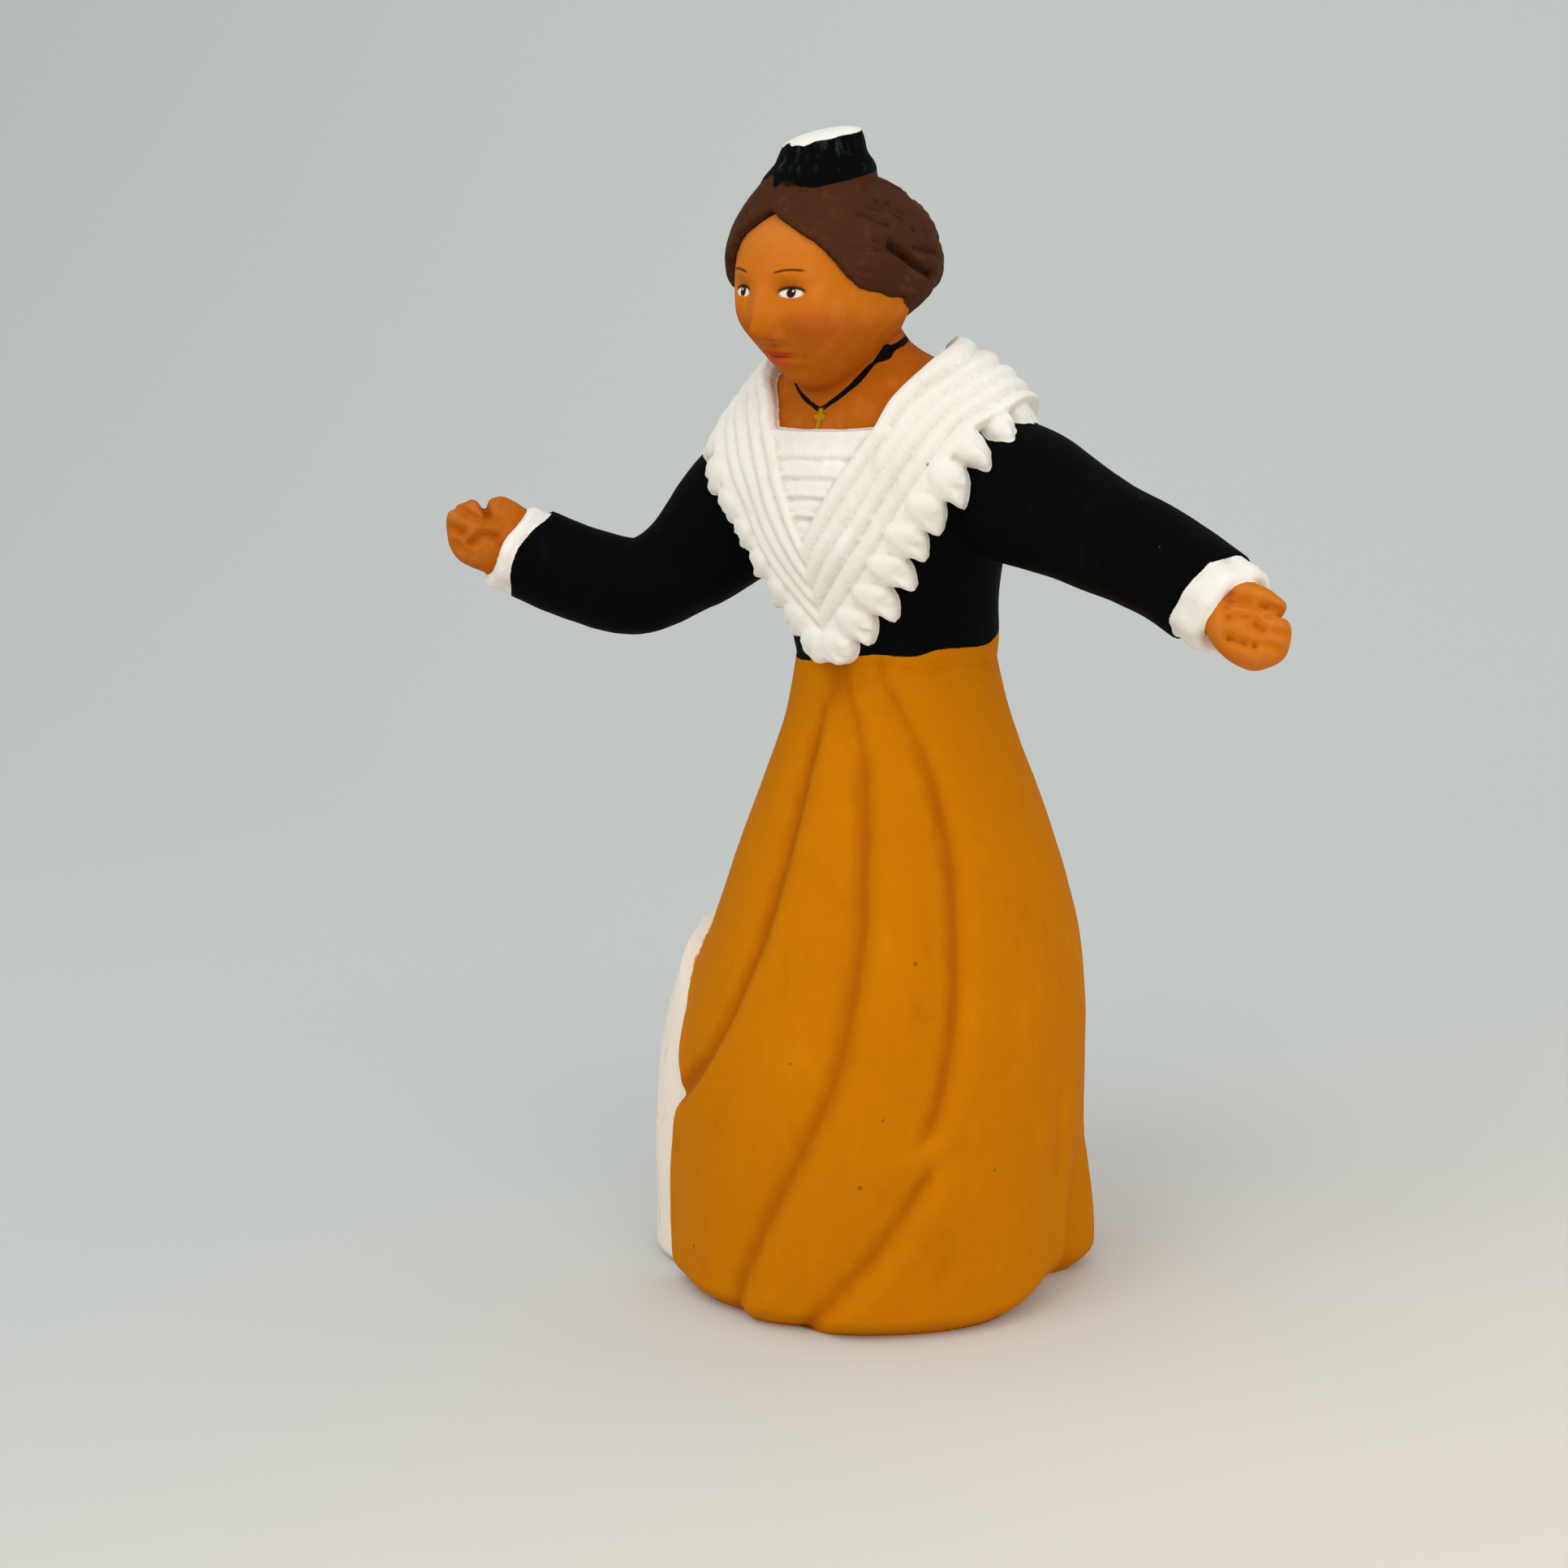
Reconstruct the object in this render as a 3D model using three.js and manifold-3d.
// A santon: a small fired-clay figure of a Provencal woman in festive dress, painted by hand.
// She dances with both arms held out. A dark ribbon cap sits on her parted hair, a pleated
// white fichu with a scalloped edge crosses her chest, and her long skirt swings round in folds
// and opens over a white petticoat on her right side.
//
// Millimetres. She stands on the XY plane with +Z up and faces -Y, so +X is on her left.
// The origin is the centre of the flat underside. The whole figure is one solid of clay.
//
// Every moulded form starts as a sphere whose points are moved by a function of two shares:
// "along", from one pole to the other, and "turn", once round.

import * as THREE from 'three';
import { mergeVertices } from 'three/addons/utils/BufferGeometryUtils.js';
import Module from 'manifold-3d';

const wasm = await Module();
wasm.setup();

// Skirt
const skirtHeight = 40;
const hemRadius = 12.95;
const waistRadius = 6.45;
const hemTuck = 1.35;
const hemTuckHeight = 1.5;
const foldDepth = 0.54;
const foldWidth = 0.74;
const petticoatTop = 21.8;
const petticoatBulge = 1.45;
const petticoatStep = 0.5;
const trainFlare = 1.0;
const trainHeight = 11;

// Bodice, neck and bib
const torsoHeight = 13.5;
const shoulderHalfWidth = 8.1;
const shoulderRise = 2.6;
const chestHalfDepth = 6.4;
const neckRadius = 2.85;
const neckLength = 6.5;
const bibRelief = 0.5;
const bibPleats = 6;

// Fichu, the crossed shawl
const fichuThickness = 0.95;
const fichuRoll = 0.95;
const fichuPleats = 5;
const fichuPleatDepth = 0.38;
const petalLength = 1.6;
const petalWidth = 1.2;
const petalThickness = 1.0;
const petalRoot = 1.7;
const petalShoulderSlim = 0.22;
const petalsPerSide = 17;

// Sleeves, cuffs and hands
const leftSleeveRoot = 4.1;
const rightSleeveRoot = 4.2;
const elbowRadius = 3.05;
const sleeveEndRadius = 2.95;
const leftArmReach = 18;
const rightArmReach = 15.3;
const cuffRadius = 2.75;
const leftCuffLength = 1.6;
const rightCuffLength = 1.1;
const cuffRuffles = 9;
const palmRadius = 2.3;
const handThickness = 3.1;
const palmTurn = 38;
const palmTilt = 12;

// Head, hair and cap
const headHalfWidth = 4.95;
const headHalfDepth = 5.5;
const headHalfHeight = 6;
const headForward = 1.2;
const headTurn = 6;
const headNod = 4;
const hairHalfWidth = 6.25;
const hairHalfDepth = 6.6;
const hairHalfHeight = 5.35;
const hairSideShift = -0.25;
const hairSweep = 24;
const hairLockDepth = 0.34;
const hairFrontRise = 1.1;
const hairLow = 0.88;
const hairlineHeight = 4.55;
const capSeat = 6.15;
const capBottomRadius = 3.35;
const capTopRadius = 2.25;
const capHeight = 2.3;
const capDome = 0.3;
const capTip = 0.085;
const capLean = 0.035;
const capSideLean = 0.1;

// Where the body leans: each level's centre, beside and behind the underside's centre
const hemShift = new THREE.Vector2(0.3, 0.3);
const waistShift = new THREE.Vector2(0.95, 1.15);
const shoulderShift = new THREE.Vector2(0.6, -0.4);
const neckShift = new THREE.Vector2(-0.15, -2.95);
const headShift = new THREE.Vector2(-0.4, -3.3);
const shoulderTilt = 0.055;

// From the end of each sleeve to the middle of the hand
const leftHandShift = new THREE.Vector3(2.71, -0.99, -1.08);
const rightHandShift = new THREE.Vector3(-1.21, -1.44, 0.8);

const FULL_TURN = Math.PI * 2;
const radians = THREE.MathUtils.degToRad;
const lerp = THREE.MathUtils.lerp;
const smooth = THREE.MathUtils.smoothstep;

const waistHeight = skirtHeight;
const shoulderHeight = waistHeight + torsoHeight;
const neckTop = shoulderHeight + neckLength;

const PAINT = {
  clay: { color: 0xd28a1c, roughness: 0.8, metalness: 0 },
};

/** A smooth bump, 1 at zero and fading out at about twice the width. */
const bump = (distance, width) => Math.exp(-((distance / width) ** 2));

/** The shortest difference between two angles in degrees. */
const apart = (a, b) => ((((a - b + 180) % 360) + 360) % 360) - 180;

/** The value at a place along a list of [place, value] stops, joined by smooth stretches. */
function blend(stops, place) {
  const last = stops.length - 1;
  if (place <= stops[0][0]) return stops[0][1];
  if (place >= stops[last][0]) return stops[last][1];
  const i = stops.findIndex(([start], k) => place >= start && place < stops[k + 1][0]);
  const [from, to] = [stops[i], stops[i + 1]];
  const slope = (k) => {
    const before = stops[Math.max(k - 1, 0)];
    const after = stops[Math.min(k + 1, last)];
    return (after[1] - before[1]) / (after[0] - before[0]);
  };
  const span = to[0] - from[0];
  const s = (place - from[0]) / span;
  const [s2, s3] = [s * s, s * s * s];
  return (2 * s3 - 3 * s2 + 1) * from[1] + (s3 - 2 * s2 + s) * span * slope(i)
    + (3 * s2 - 2 * s3) * to[1] + (s3 - s2) * span * slope(i + 1);
}

/** A closed solid of clay from any closed three.js geometry. */
function solid(geometry) {
  const bare = geometry.clone();
  bare.deleteAttribute('normal');
  bare.deleteAttribute('uv');
  const merged = mergeVertices(bare, 1e-4);
  const corners = merged.index.array;
  const kept = [];
  for (let i = 0; i < corners.length; i += 3) {
    const [a, b, c] = [corners[i], corners[i + 1], corners[i + 2]];
    if (a !== b && b !== c && c !== a) kept.push(a, b, c);
  }
  return new wasm.Manifold(new wasm.Mesh({
    numProp: 3,
    vertProperties: new Float32Array(merged.attributes.position.array),
    triVerts: new Uint32Array(kept),
  }));
}

/** A sphere whose points are placed by place(along, turn, ring), with "along" 0 and 1 at the poles. */
function moulded(segments, rings, place) {
  const sphere = new THREE.SphereGeometry(1, segments, rings);
  const position = sphere.attributes.position;
  for (let row = 0; row <= rings; row += 1) {
    const ring = rings - row;
    const atPole = ring === 0 || ring === rings;
    for (let segment = 0; segment <= segments; segment += 1) {
      const turn = atPole ? 0 : (segment % segments) / segments;
      const point = place(ring / rings, turn, ring);
      position.setXYZ(row * (segments + 1) + segment, point.x, point.y, point.z);
    }
  }
  return solid(sphere);
}

/** Where the centre line of the dress runs at a height, from the hem to the neck. */
function spine(height) {
  const stops = [
    [0, hemShift], [0.3 * waistHeight, hemShift.clone().multiplyScalar(1.4)],
    [0.6 * waistHeight, waistShift.clone().multiplyScalar(1.12)], [waistHeight, waistShift],
    [waistHeight + 0.45 * torsoHeight, waistShift.clone().lerp(shoulderShift, 0.72)],
    [shoulderHeight, shoulderShift],
    [shoulderHeight + 0.4 * neckLength, shoulderShift.clone().lerp(neckShift, 0.2)],
    [neckTop, neckShift],
  ];
  return new THREE.Vector2(
    blend(stops.map(([level, { x }]) => [level, x]), height),
    blend(stops.map(([level, { y }]) => [level, y]), height),
  );
}

// Lines down the skirt, in order round it: folds, and the two edges of the opening over the
// petticoat. Each path is [share of the skirt's height, degrees round from the front]. A fold is
// cut between its "from" and "to" shares. "strip" points stand each side of the line and
// "fill" more stand between it and the next line.
const LINES = [
  { path: [[0, -30], [0.25, -34], [0.3, -34], [0.34, -31], [0.404, -23], [0.469, -17.5], [0.532, -14.5],
    [0.6, -12], [0.749, -12], [0.831, -13.5], [0.903, -12], [0.95, -5]],
    depth: 1.2, from: 0.24, to: 0.97, strip: 2, fill: 2 },
  { path: [[0, -8.5], [0.1, -1], [0.176, 5], [0.251, 11.8], [0.323, 17], [0.39, 21], [0.455, 22.5],
    [0.61, 23.8], [0.68, 22.2], [0.76, 20], [0.844, 16.2], [0.916, 12], [0.968, 10]],
    depth: 1, from: -1, to: 0.98, strip: 2, fill: 1 },
  { path: [[0, 17], [0.05, 22.5], [0.09, 28.5], [0.136, 35.5], [0.193, 42.2], [0.235, 46.5], [0.3, 48],
    [0.37, 50.8], [0.5, 53.2], [0.64, 53.5], [0.71, 53], [0.78, 50.5], [0.846, 45.5], [0.887, 39.8],
    [0.93, 33], [0.97, 30]], depth: 1, from: -1, to: 0.99, strip: 2, fill: 3 },
  { path: [[0, 94], [0.22, 94.5], [1, 94.5]], depth: 0.4, from: -1, to: 0.5, strip: 1, fill: 1 },
  { path: [[0, 110], [0.3, 111], [1, 112]], depth: 0, from: -1, to: 0.3, strip: 1, fill: 3 },
  { path: [[0, 160], [0.3, 164], [0.6, 160], [1, 152]], depth: 0.9, from: -1, to: 0.95, strip: 2, fill: 2 },
  { path: [[0, 206], [0.3, 198], [0.6, 192], [1, 190]], depth: 0.9, from: -1, to: 0.95, strip: 2, fill: 2 },
  { path: [[0, 242], [1, 242]], depth: 0, from: 0, to: 0, strip: 1, fill: 5 },
  { path: [[0, 319], [0.09, 313.5], [0.17, 314], [0.25, 319], [0.295, 322.5], [0.32, 317.5], [0.38, 313.5],
    [0.48, 310.5], [0.58, 312.5], [1, 318]], depth: 0, from: 0, to: 0, strip: 1, fill: 0 },
];
const [OPENING_BACK, OPENING_FRONT] = LINES.slice(-2);

/** How far the folds push the skirt in or out at a place on it. */
function foldRelief(degrees, height, radius) {
  const share = height / skirtHeight;
  return LINES.filter(({ depth }) => depth > 0).reduce((sum, { path, depth, from, to }) => {
    const rise = (blend(path, share + 0.02) - blend(path, share - 0.02)) / 0.04;
    const slant = Math.hypot(1, (radians(rise) * radius) / skirtHeight);
    const across = (radians(apart(degrees, blend(path, share))) * radius) / slant;
    const fade = smooth(share, from, from + 0.07) * (1 - smooth(share, to - 0.12, to));
    const groove = 0.45 * bump(across - 2 * foldWidth, 1.4 * foldWidth) - bump(across, foldWidth)
      + 0.35 * bump(across + 2 * foldWidth, 1.4 * foldWidth);
    return sum + foldDepth * depth * fade * groove;
  }, 0);
}

/** 1 inside the skirt's side opening, where the petticoat shows, and 0 on the skirt. */
function petticoatShare(degrees, height) {
  const share = height / skirtHeight;
  const [back, front] = [blend(OPENING_BACK.path, share), blend(OPENING_FRONT.path, share)];
  const across = apart(degrees, (back + front) / 2) / ((front - back) / 2);
  return 1 - smooth(Math.hypot(across, (height / petticoatTop) ** 3), 0.93, 1.03);
}

/** The skirt's radius at a height and an angle from the front, in degrees. */
function skirtRadius(degrees, height) {
  const flare = blend([[0, 1], [0.075, 1], [0.2, 1], [0.325, 0.98], [0.475, 0.87], [0.635, 0.63],
    [0.79, 0.32], [0.88, 0.125], [0.96, 0.01], [1, -0.03]], height / skirtHeight);
  const plain = lerp(waistRadius, hemRadius, flare);
  const low = 1 - smooth(height, 0.2 * trainHeight, trainHeight);
  const train = trainFlare * low * (bump(apart(degrees, 128), 13) - 1.5 * bump(apart(degrees, 110), 7.5));
  const round = apart(degrees, 276) / 34;
  const lining = petticoatBulge * (1 - Math.min(1, round ** 6)) - petticoatStep * Math.min(1, round ** 8)
    + 0.1 * Math.cos(radians(degrees * 9));
  const cloth = foldRelief(degrees, height, plain);
  const inside = petticoatShare(degrees, height);
  const lifted = bump(apart(degrees, 98), 16);
  const tuckHeight = hemTuckHeight * (1 + 1.2 * lifted - 0.5 * inside);
  const tuck = hemTuck * (1 + 1.3 * lifted - 0.4 * inside) * (1 - Math.min(1, height / tuckHeight)) ** 2;
  return plain + train + lerp(cloth, lining, inside) - tuck;
}

/** The angles of the skirt's columns of points at a height: they follow the folds. */
function skirtColumns(height) {
  const share = height / skirtHeight;
  const step = THREE.MathUtils.radToDeg(1.05 * foldWidth / skirtRadius(0, Math.max(height, 4)));
  const marks = LINES.map(({ path }) => blend(path, share));
  const columns = LINES.flatMap(({ strip, fill }, i) => {
    const next = (i + 1) % LINES.length;
    const near = Array.from({ length: 2 * strip + 1 }, (_, k) => marks[i] + (k - strip) * step);
    const start = marks[i] + strip * step;
    const end = marks[next] + (next === 0 ? 360 : 0) - LINES[next].strip * step;
    return [...near, ...Array.from({ length: fill }, (_, k) => lerp(start, end, (k + 1) / (fill + 1)))];
  });
  for (let i = 1; i < columns.length; i += 1) columns[i] = Math.max(columns[i], columns[i - 1] + 1);
  return columns;
}

/** The skirt, from the flat underside up into the bodice. */
function skirt() {
  const top = waistHeight + 1.5;
  const levels = [0, 0, 0.4, 1.2];
  for (let i = 2; i <= 16; i += 1) levels.push(top * (i / 16) ** 1.12);
  levels.push(top);
  const count = skirtColumns(0).length;
  return moulded(count, levels.length - 1, (along, turn, ring) => {
    const height = levels[ring];
    const middle = spine(height);
    if (along === 0 || along === 1) return new THREE.Vector3(middle.x, middle.y, height);
    const level = Math.min(height, waistHeight);
    const degrees = skirtColumns(level)[Math.round(turn * count)];
    const radius = skirtRadius(degrees, level) * (1 - 0.05 * (height - level));
    const depth = lerp(1, 0.88, smooth(height, 0.55 * waistHeight, waistHeight));
    return new THREE.Vector3(
      middle.x + radius * Math.sin(radians(degrees)),
      middle.y - radius * depth * Math.cos(radians(degrees)),
      height,
    );
  });
}

/** Tips the shoulders, so that the side of the straighter arm sits a little higher. */
function tipShoulders(point) {
  point.z += shoulderTilt * point.x * smooth(point.z, waistHeight, shoulderHeight);
  return point;
}

/** A point on the bodice and neck, at an angle from the front and a height. */
function bodicePoint(degrees, height) {
  // [height, half width, half depth]
  const stops = [
    [waistHeight - 2, 0.93 * waistRadius, 0.82 * waistRadius],
    [waistHeight, waistRadius, 0.88 * waistRadius],
    [waistHeight + 0.22 * torsoHeight, 0.845 * shoulderHalfWidth, 0.91 * chestHalfDepth],
    [waistHeight + 0.5 * torsoHeight, 0.965 * shoulderHalfWidth, chestHalfDepth],
    [waistHeight + 0.78 * torsoHeight, shoulderHalfWidth, 0.96 * chestHalfDepth],
    [shoulderHeight, 0.98 * shoulderHalfWidth, 0.85 * chestHalfDepth],
    [shoulderHeight + 0.22 * neckLength, 0.9 * shoulderHalfWidth, 0.74 * chestHalfDepth],
    [shoulderHeight + 0.4 * neckLength, 0.77 * shoulderHalfWidth, 0.62 * chestHalfDepth],
    [shoulderHeight + 0.57 * neckLength, 0.55 * shoulderHalfWidth, 0.47 * chestHalfDepth],
    [shoulderHeight + 0.74 * neckLength, 1.08 * neckRadius, 1.05 * neckRadius],
    [neckTop + 2, neckRadius, neckRadius],
  ];
  const round = shoulderRise * bump(apart(Math.abs(apart(degrees, 0)), 80), 36)
    * bump(height - (waistHeight + 0.8 * torsoHeight), 3.4);
  const middle = spine(height);
  const width = blend(stops.map(([level, size]) => [level, size]), height) + round;
  const depth = blend(stops.map(([level, , size]) => [level, size]), height) + round;
  return tipShoulders(new THREE.Vector3(
    middle.x + width * Math.sin(radians(degrees)),
    middle.y - depth * Math.cos(radians(degrees)),
    height,
  ));
}

/** A point lifted off the bodice, with the directions out of it, round it and up it. */
function offBodice(degrees, height, lift) {
  const at = bodicePoint(degrees, height);
  const round = bodicePoint(degrees + 1, height).sub(at).normalize();
  const rise = bodicePoint(degrees, height + 0.05).sub(at).normalize();
  const out = new THREE.Vector3().crossVectors(round, rise).normalize();
  return { at: at.addScaledVector(out, lift), out };
}

/** The bodice and neck. */
function bodice() {
  const [low, high] = [waistHeight - 2, neckTop + 2];
  return moulded(26, 15, (along, turn) => {
    const height = lerp(low, high, along);
    if (along > 0 && along < 1) return bodicePoint(turn * 360, height);
    const middle = spine(height);
    return new THREE.Vector3(middle.x, middle.y, height);
  });
}

/** The bib between the fichu's two sides, in flat pleats across the chest. */
function bib() {
  const [low, high] = [waistHeight + 0.42 * torsoHeight, waistHeight + torsoHeight];
  const lifts = [1, 1, 1, 1, 1, -3, -3];
  const places = [-1, -0.5, 0, 0.5, 1, 0.8, -0.8];
  return moulded(lifts.length, 2 * bibPleats + 1, (along, turn, ring) => {
    const height = lerp(low, high, along);
    const half = lerp(16, 52, along);
    const column = Math.round(turn * lifts.length);
    const atEnd = along === 0 || along === 1;
    const lift = bibRelief * (ring % 2 === 0 ? 1 : 0.45) * lifts[column];
    return offBodice(atEnd ? 0 : half * places[column], height, atEnd ? -0.5 : lift).at;
  });
}

// The fichu's neck edge and its outer edge on her left side, from just past the middle of the back,
// where the two sides lap, over the shoulder to the tip in front:
// [share of the way, degrees from the front, share of torso height]
const NECK_EDGE = [[0, 186, 1.12], [0.15, 160, 1.18], [0.3, 130, 1.26], [0.45, 94, 1.25], [0.6, 57, 1.21],
  [0.7, 36, 1.13], [0.8, 25, 1.0], [0.9, 14, 0.8], [1, 0.5, 0.53]];
const OUTER_EDGE = [[0, 186, 0.36], [0.15, 156, 0.62], [0.3, 126, 0.88], [0.45, 97, 0.99], [0.6, 73, 0.94],
  [0.72, 59, 0.81], [0.82, 48, 0.6], [0.91, 32, 0.32], [1, 0, 0]];
const fichuTwist = -5;
const leftEdgeDraw = 4.5;

/** A point on one side of the fichu: along it from back to front, and across from neck (0) to edge (1). */
function fichuPoint(side, along, across, lift) {
  const place = [NECK_EDGE, OUTER_EDGE].map((edge) => [
    blend(edge.map(([share, degrees]) => [share, degrees]), along),
    blend(edge.map(([share, , rise]) => [share, rise]), along),
  ]);
  const drawn = side > 0 ? leftEdgeDraw * bump(along - 0.83, 0.1) * across : 0;
  const degrees = lerp(place[0][0], place[1][0], across) - drawn;
  const height = waistHeight + torsoHeight * lerp(place[0][1], place[1][1], across);
  return offBodice(side * degrees + fichuTwist * smooth(along, 0.8, 1), height, lift);
}

/** One side of the fichu: a pleated band over the shoulder. */
function fichuBand(side) {
  const top = 2 * fichuPleats + 1;
  const [columns, rings] = [top + 2, 19];
  return moulded(columns, rings, (along, turn, ring) => {
    const share = Math.min(1, Math.max(0, (ring - 1) / (rings - 2)));
    const raw = Math.round(turn * columns);
    const column = side > 0 ? columns - 1 - raw : raw;
    if (along === 0 || along === 1) return fichuPoint(side, share, 0.5, -1.6).at;
    if (column >= top) return fichuPoint(side, share, column === top ? 0.85 : 0.15, -1.6).at;
    const edge = column === 0 || column === top - 1;
    const thickness = fichuThickness * (1 + fichuRoll * bump(share - 0.38, 0.2));
    const lift = edge ? 0.5 * thickness : thickness - (column % 2 === 0 ? fichuPleatDepth : 0);
    return fichuPoint(side, share, 0.93 * (column / (top - 1)), lift).at;
  });
}

/** The scalloped edge along one side of the fichu, petal by petal. */
function fichuEdge(side) {
  const steps = Array.from({ length: 41 }, (_, i) => fichuPoint(side, i / 40, 1, 0).at);
  const edge = new THREE.CatmullRomCurve3(steps);
  return Array.from({ length: petalsPerSide }, (_, i) => {
    const share = edge.getUtoTmapping((i + 0.5) / petalsPerSide);
    const { at, out } = fichuPoint(side, share, 1, 0.25 * fichuThickness);
    const inner = fichuPoint(side, share, 0.8, 0.25 * fichuThickness).at;
    const down = edge.getTangent(share).projectOnPlane(out).normalize();
    const away = new THREE.Vector3().crossVectors(down, out);
    const turned = Math.sign(away.dot(at.clone().sub(inner)));
    const frame = new THREE.Matrix4()
      .makeBasis(away.multiplyScalar(turned), down.multiplyScalar(turned), out)
      .setPosition(at);
    const size = 1 - petalShoulderSlim * bump(share - 0.58, 0.1);
    return moulded(8, 3, (along, turn) => {
      const [polar, angle] = [along * Math.PI, turn * FULL_TURN];
      const deep = along < 0.5 ? petalRoot : petalThickness;
      return new THREE.Vector3(
        size * petalLength * Math.sin(polar) * Math.cos(angle),
        size * petalWidth * Math.sin(polar) * Math.sin(angle),
        -deep * Math.cos(polar),
      ).applyMatrix4(frame);
    });
  });
}

/** The middle line of a sleeve, from inside the shoulder to the wrist. */
function armLine(side) {
  const start = new THREE.Vector3(
    side * 0.72 * shoulderHalfWidth + shoulderShift.x,
    0.2,
    shoulderHeight - 2.9 + 0.1 * side,
  );
  const reach = side > 0 ? leftArmReach : rightArmReach;
  const bends = side > 0
    ? [[0.28, -0.03, -0.062], [0.56, -0.08, -0.146], [0.83, -0.13, -0.222], [1.023, -0.175, -0.305]]
    : [[-0.24, -0.05, -0.165], [-0.5, -0.13, -0.41], [-0.69, -0.22, -0.52], [-0.85, -0.36, -0.475],
      [-1.046, -0.5685, -0.352]];
  const points = bends.map((bend) => start.clone().addScaledVector(new THREE.Vector3(...bend), reach));
  return new THREE.CatmullRomCurve3([start, ...points]);
}

/** Right-handed axes at a share of a line: ahead along it, up and sideways. */
function axesAlong(line, share) {
  const ahead = line.getTangent(share).normalize();
  const sideways = new THREE.Vector3().crossVectors(ahead, new THREE.Vector3(0, 0, 1)).normalize();
  const up = new THREE.Vector3().crossVectors(sideways, ahead);
  return { at: line.getPoint(share), ahead, up, sideways };
}

/** A round form with flat ends along a line, whose radius is given by girth(share, angle). */
function limb(segments, rings, line, girth) {
  return moulded(segments, rings, (along, turn, ring) => {
    const share = Math.min(1, Math.max(0, (ring - 1) / (rings - 2)));
    const { at, up, sideways } = axesAlong(line, share);
    const angle = turn * FULL_TURN;
    const radius = along === 0 || along === 1 ? 0 : girth(share, angle);
    return at.addScaledVector(up, radius * Math.sin(angle))
      .addScaledVector(sideways, -radius * Math.cos(angle));
  });
}

/** A sleeve, tapering from the shoulder to the wrist. */
function sleeve(side) {
  const line = armLine(side);
  const root = side > 0 ? leftSleeveRoot : rightSleeveRoot;
  const radius = [[0, root], [0.22, root], [0.45, lerp(elbowRadius, root, side > 0 ? 0.33 : 0.05)],
    [0.7, elbowRadius], [1, sleeveEndRadius]];
  return limb(14, 10, line, (share) => blend(radius, share));
}

/** The ruffled cuff at a wrist. */
function cuff(side) {
  const { at, ahead } = axesAlong(armLine(side), 1);
  const length = side > 0 ? leftCuffLength : rightCuffLength;
  const line = new THREE.LineCurve3(
    at.clone().addScaledVector(ahead, -0.8),
    at.clone().addScaledVector(ahead, length),
  );
  return limb(2 * cuffRuffles, 5, line, (share, angle) => {
    const ruffle = share > 0.5 ? 0.05 * Math.cos(angle * cuffRuffles) : 0;
    return cuffRadius * (share === 1 ? 0.86 + ruffle : 1 + ruffle);
  });
}

// The outlines of the hands seen from the front: [degrees round, reach as a share of the palm's radius].
// The thumb and the fingers stand out on each side of a notch.
const LEFT_HAND = [[0, 0.92], [8, 0.87], [18, 0.66], [25, 0.87], [31, 0.97], [62, 0.97], [117, 1.1],
  [133, 1.02], [183, 1.02], [222, 0.92], [248, 0.92], [292, 1], [337, 0.97], [360, 0.92]];
const RIGHT_HAND = [[0, 1.09], [14, 1.22], [27, 1.3], [44, 1.22], [60, 1.17], [79, 1.04], [85, 0.95],
  [92, 0.66], [97, 0.7], [104, 0.92], [111, 1.05], [135, 1.14], [147, 1.19], [177, 1.07], [222, 0.99],
  [240, 0.94], [276, 1.04], [300, 1.11], [360, 1.09]];

/** A wrist, from inside the cuff to the middle of the hand. */
function wrist(side) {
  const { at, ahead } = axesAlong(armLine(side), 1);
  const middle = at.clone().add(side > 0 ? leftHandShift : rightHandShift);
  const length = side > 0 ? leftCuffLength : rightCuffLength;
  const line = new THREE.LineCurve3(at.addScaledVector(ahead, 0.5 * length), middle);
  return limb(7, 3, line, () => 0.5 * palmRadius);
}

/** A hand like a mitten, with its palm to the front. */
function hand(side) {
  const { at, ahead } = axesAlong(armLine(side), 1);
  const middle = at.add(side > 0 ? leftHandShift : rightHandShift);
  const [round, rise] = [radians(palmTurn), radians(palmTilt)];
  const across = new THREE.Vector3(Math.cos(round), Math.sin(round), 0);
  const front = new THREE.Vector3(0, 0, Math.sin(rise))
    .addScaledVector(new THREE.Vector3(Math.sin(round), -Math.cos(round), 0), Math.cos(rise));
  const upward = new THREE.Vector3().crossVectors(front, across);
  const square = front.clone().addScaledVector(ahead, -front.dot(ahead)).normalize();
  const palm = front.clone().lerp(square, 0.4).normalize();
  const outline = side > 0 ? LEFT_HAND : RIGHT_HAND;
  return moulded(20, 6, (along, turn) => {
    const [polar, angle] = [along * Math.PI, turn * FULL_TURN];
    const reach = palmRadius * blend(outline, turn * 360) * Math.sin(polar) ** 0.75;
    const [u, v] = [reach * Math.cos(angle), reach * Math.sin(angle)];
    const slide = -(across.dot(palm) * u + upward.dot(palm) * v) / front.dot(palm);
    return middle.clone()
      .addScaledVector(across, u)
      .addScaledVector(upward, v)
      .addScaledVector(front, slide)
      .addScaledVector(palm, -0.5 * handThickness * Math.cos(polar));
  });
}

/** The head's own axes: it sits on the neck, turned a little to her right and nodding. */
function headFrame() {
  const turn = new THREE.Euler(radians(headNod), 0, radians(-headTurn), 'ZXY');
  return new THREE.Matrix4().makeRotationFromEuler(turn)
    .setPosition(headShift.x, headShift.y - headForward, neckTop + 0.28 * headHalfHeight);
}

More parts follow.
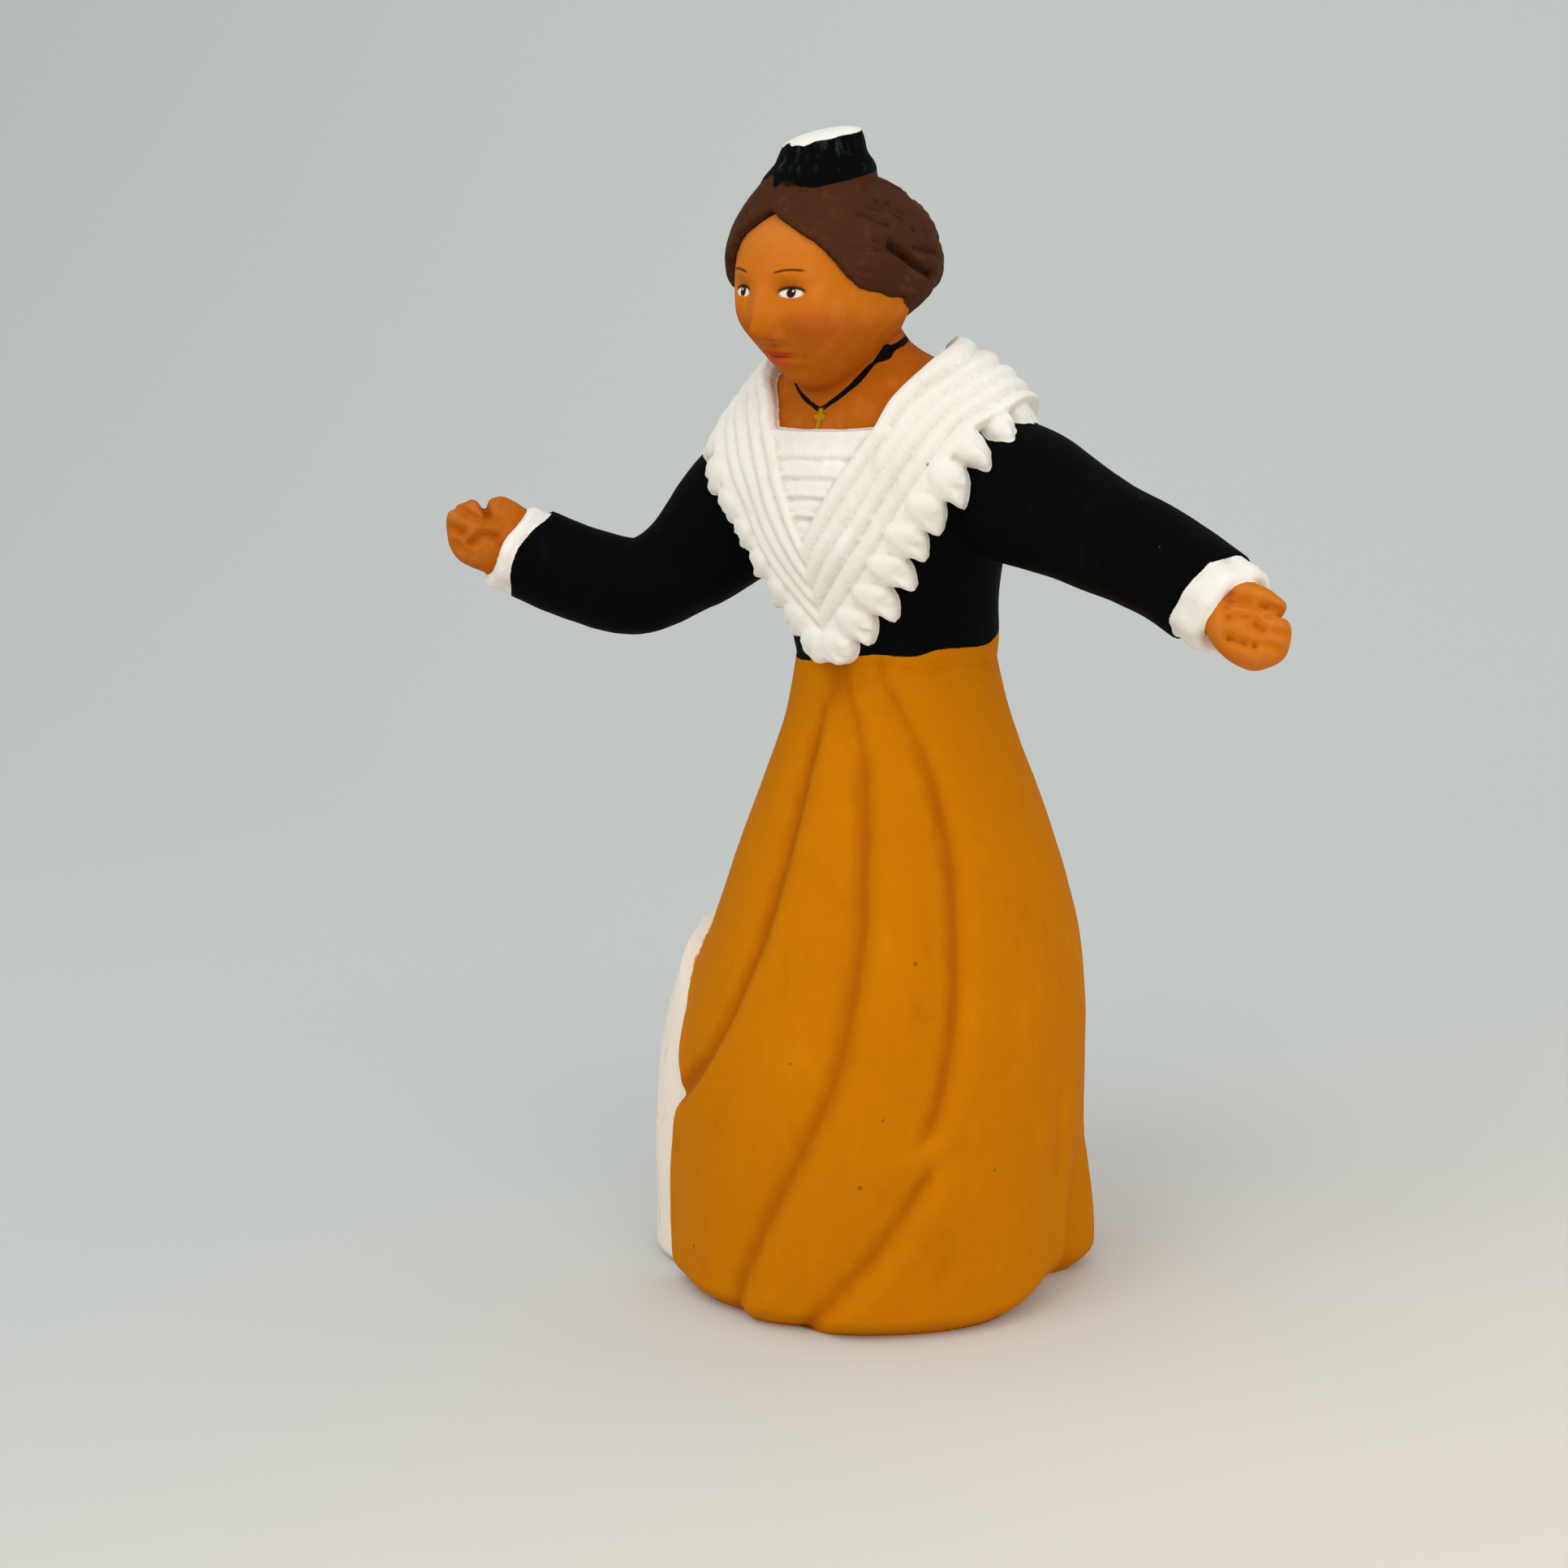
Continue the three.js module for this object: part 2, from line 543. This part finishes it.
/** How far the face stands out from a plain egg, for a point of the head seen from the front. */
function faceRelief(x, z) {
  const side = Math.abs(x);
  const nose = 0.9 * bump(x, 0.75) * bump(z + 2.0, 0.75) + 0.55 * bump(x, 0.6) * bump(z + 0.8, 1);
  const sockets = -0.4 * bump(side - 1.75, 1) * bump(z, 0.7);
  const brows = 0.22 * bump(side - 1.7, 1.3) * bump(z - 1.1, 0.6);
  const lips = 0.36 * bump(x, 1.15) * bump(z + 3.7, 0.5);
  const chin = 0.45 * bump(x, 1.2) * bump(z + 5.2, 0.8);
  const cheeks = 0.3 * bump(side - 2.6, 1.2) * bump(z + 1.9, 1.3);
  return nose + sockets + brows + lips + chin + cheeks;
}

/** The head with its face, calm and symmetrical. */
function head() {
  const frame = headFrame();
  return moulded(26, 22, (along, turn) => {
    const swing = 2 * turn - 1;
    const [polar, angle] = [along * Math.PI, Math.PI * Math.sign(swing) * Math.abs(swing) ** 1.35];
    const z = -headHalfHeight * Math.cos(polar);
    const jaw = smooth(-z, 0, headHalfHeight);
    const x = headHalfWidth * Math.sin(polar) * Math.sin(angle) * (1 - 0.2 * jaw);
    const y = -headHalfDepth * Math.sin(polar) * Math.cos(angle) * (1 - 0.08 * jaw);
    const relief = faceRelief(x, z) * smooth(Math.cos(angle) * Math.sin(polar), 0, 0.4);
    return new THREE.Vector3(x, y - relief, z).applyMatrix4(frame);
  });
}

/** The hair, parted in the middle and swept back over the ears into a low roll. */
function hair() {
  const frame = headFrame();
  const sweep = new THREE.Vector3(1, 0, 0);
  return moulded(28, 18, (along, turn, ring) => {
    const [polar, angle] = [along * Math.PI, turn * FULL_TURN - Math.PI];
    const way = new THREE.Vector3().setFromSphericalCoords(1, polar, angle);
    way.set(way.x, -way.z, -way.y).applyAxisAngle(sweep, -radians(hairSweep));
    const back = smooth(way.y, -0.3, 0.5);
    const between = ring % 3 === 1 && ring > 3;
    const lock = between ? -hairLockDepth * smooth(Math.abs(way.x) + way.y, 0.1, 0.5) : 0;
    const parting = -0.3 * bump(way.x, 0.12) * smooth(-way.y, 0, 0.4);
    const narrow = 1 - 0.25 * smooth(-way.z, 0.2, 1);
    const size = 1 + (lock + parting) / hairHalfWidth;
    const x = hairSideShift + way.x * hairHalfWidth * size * narrow;
    const y = 1.2 + way.y * hairHalfDepth * size;
    const rise = hairFrontRise * bump(Math.hypot(x, y + 3), 3) * smooth(way.z, 0.2, 0.7);
    const tall = hairHalfHeight * size * lerp(1, hairLow, smooth(-way.z, 0, 0.5));
    const z = 1.35 + way.z * tall - 0.3 * back + rise;
    return new THREE.Vector3(x, y, z).applyMatrix4(frame);
  });
}

/** A prism that cuts the hair open over the face: the hairline rises to the parting. */
function faceOpening() {
  const halfWidths = [[-6.4, 5.1], [-0.9, 5.1], [-0.2, 4.95], [0.6, 4.6], [1.5, 4.2], [2.2, 3.7],
    [2.9, 2.95], [3.9, 1.25]];
  const left = halfWidths.map(([z, x]) => new THREE.Vector2(x, z));
  const right = halfWidths.map(([z, x]) => new THREE.Vector2(-x, z)).reverse();
  const outline = new THREE.Shape([...left, new THREE.Vector2(0, hairlineHeight), ...right]);
  const prism = new THREE.ExtrudeGeometry(outline, { depth: 3 * headHalfDepth, bevelEnabled: false });
  prism.rotateX(Math.PI / 2);
  prism.applyMatrix4(headFrame());
  return solid(prism);
}

/** The ribbon cap: a leaning band and its domed crown, on top of the hair. */
function cap() {
  const frame = headFrame();
  const profile = [[0, -1.4], [0.93 * capBottomRadius, -1.4], [capBottomRadius, 0],
    [lerp(capBottomRadius, capTopRadius, 0.6), 0.5 * capHeight], [capTopRadius, capHeight],
    [0.6 * capTopRadius, capHeight + 0.75 * capDome], [0, capHeight + capDome]];
  const lathe = new THREE.LatheGeometry(profile.map(([r, z]) => new THREE.Vector2(r, z)), 20);
  const position = lathe.attributes.position;
  for (let i = 0; i < position.count; i += 1) {
    const [x, rise, z] = [position.getX(i), position.getY(i), position.getZ(i)];
    const share = Math.max(0, rise) / capHeight;
    const lift = capSideLean * share * x - (capTip + capLean * share) * z;
    const point = new THREE.Vector3(x, 0.5 * share - z - 0.2, capSeat + rise + lift).applyMatrix4(frame);
    position.setXYZ(i, point.x, point.y, point.z);
  }
  return solid(lathe);
}

/** All the clay forms joined into one solid, with no air left shut in between them. */
function figure() {
  const pair = (side) => [
    sleeve(side), cuff(side), wrist(side), hand(side), fichuBand(side), ...fichuEdge(side),
  ];
  const forms = [
    skirt(), bodice(), bib(), head(), hair().subtract(faceOpening()), cap(), ...pair(1), ...pair(-1),
  ];
  const shells = forms.reduce((clay, form) => clay.add(form)).decompose();
  return wasm.Manifold.compose(shells.filter((shell) => shell.volume() > 0));
}

/** A three.js geometry from a solid. */
function toGeometry(clay) {
  const mesh = clay.getMesh();
  const geometry = new THREE.BufferGeometry();
  geometry.setAttribute('position', new THREE.BufferAttribute(new Float32Array(mesh.vertProperties), 3));
  geometry.setIndex(new THREE.BufferAttribute(new Uint32Array(mesh.triVerts), 1));
  geometry.computeVertexNormals();
  return geometry;
}

const santon = new THREE.Group();
const body = new THREE.Mesh(toGeometry(figure()), new THREE.MeshStandardMaterial(PAINT.clay));
body.name = 'santon_figure';
santon.add(body);

export default santon;
